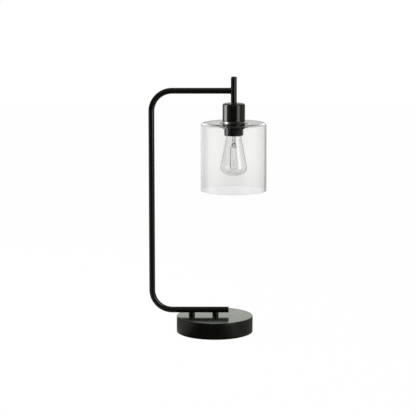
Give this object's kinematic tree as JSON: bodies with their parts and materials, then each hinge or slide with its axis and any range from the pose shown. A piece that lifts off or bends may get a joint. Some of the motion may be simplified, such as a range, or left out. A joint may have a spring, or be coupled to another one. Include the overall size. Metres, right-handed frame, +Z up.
{
  "type": "table lamp",
  "caption": "Table lamp: a C-bent tube on a thick round base holds a clear open glass cylinder shade over a filament bulb, with a threaded shade ring.",
  "frame": {"origin": "centre of the round base, on the surface that the lamp stands on", "axes": "+Z up, +X towards the shade in the plane of the bent tube, +Y to the side with the cord bushing"},
  "size_m": [0.2503, 0.1652, 0.5489],
  "materials": {
    "black_paint": "satin",
    "cast_iron": "as cast",
    "zinc_steel": "zinc plated",
    "black_rubber": "matte",
    "black_phenolic": "moulded satin",
    "brass": "rolled",
    "cap_aluminium": "rolled",
    "solder": "dull",
    "shade_glass": "polished",
    "bulb_glass": "polished",
    "filament_wire": "drawn",
    "black_wire_sleeve": "satin",
    "white_wire_sleeve": "satin"
  },
  "bodies": {
    "stand": {"base_cover": "black_paint", "base_weight": "cast_iron", "base_plate": "zinc_steel", "base_pad": "black_rubber", "cord_bushing": "black_rubber", "left_post": "black_paint", "wire_nipple": "zinc_steel", "left_washer": "zinc_steel", "left_nut": "zinc_steel", "right_post": "black_paint", "anchor_stud": "zinc_steel", "right_washer": "zinc_steel", "right_nut": "zinc_steel", "frame_tube": "black_paint", "tube_end_cap": "black_paint", "stem_rod": "black_paint", "rod_cap": "black_paint", "stem_pipe": "zinc_steel", "socket_cup": "black_paint", "stem_locknut": "zinc_steel", "holder_dome": "black_phenolic", "holder_skirt": "black_phenolic", "holder_core": "black_phenolic", "screw_shell": "brass", "centre_contact": "brass", "terminal_screw_live": "brass", "terminal_screw_neutral": "zinc_steel", "wire_live": "black_wire_sleeve", "wire_neutral": "white_wire_sleeve"},
    "shade": {"glass_shade": "shade_glass", "shade_gasket": "black_rubber"},
    "shade_ring": {"shade_ring": "black_paint"},
    "bulb_tip": {"bulb_tip_contact": "solder"},
    "bulb": {"bulb_envelope": "bulb_glass", "bulb_cap": "cap_aluminium", "bulb_cap_insulator": "black_phenolic", "bulb_stem": "bulb_glass", "bulb_filament": "filament_wire", "bulb_lead_left": "filament_wire", "bulb_lead_right": "filament_wire", "bulb_support_1": "filament_wire", "bulb_support_2": "filament_wire", "bulb_support_3": "filament_wire", "bulb_support_4": "filament_wire", "bulb_support_5": "filament_wire"}
  },
  "joints": [
    {"name": "shade_drop", "type": "slide", "parent": "stand", "child": "shade", "axis": [0, 0, -1], "range_m": [0, 0.021]},
    {"name": "ring_turn", "type": "hinge", "parent": "shade", "child": "shade_ring", "pos_m": [0.04, 0, 0.444], "axis": [0, 0, -1], "range_deg": [0, 2520]},
    {"name": "bulb_drop", "type": "slide", "parent": "stand", "child": "bulb_tip", "axis": [0, 0, -1], "range_m": [0, 0.01815]},
    {"name": "bulb_turn", "type": "hinge", "parent": "bulb_tip", "child": "bulb", "pos_m": [0.04, 0, 0.46], "axis": [0, 0, -1], "range_deg": [0, 1800]}
  ],
  "couplings": [
    {"joint": "ring_turn", "follows": "shade_drop", "rad_per_m": 2094.4},
    {"joint": "bulb_turn", "follows": "bulb_drop", "rad_per_m": 1731.4}
  ]
}
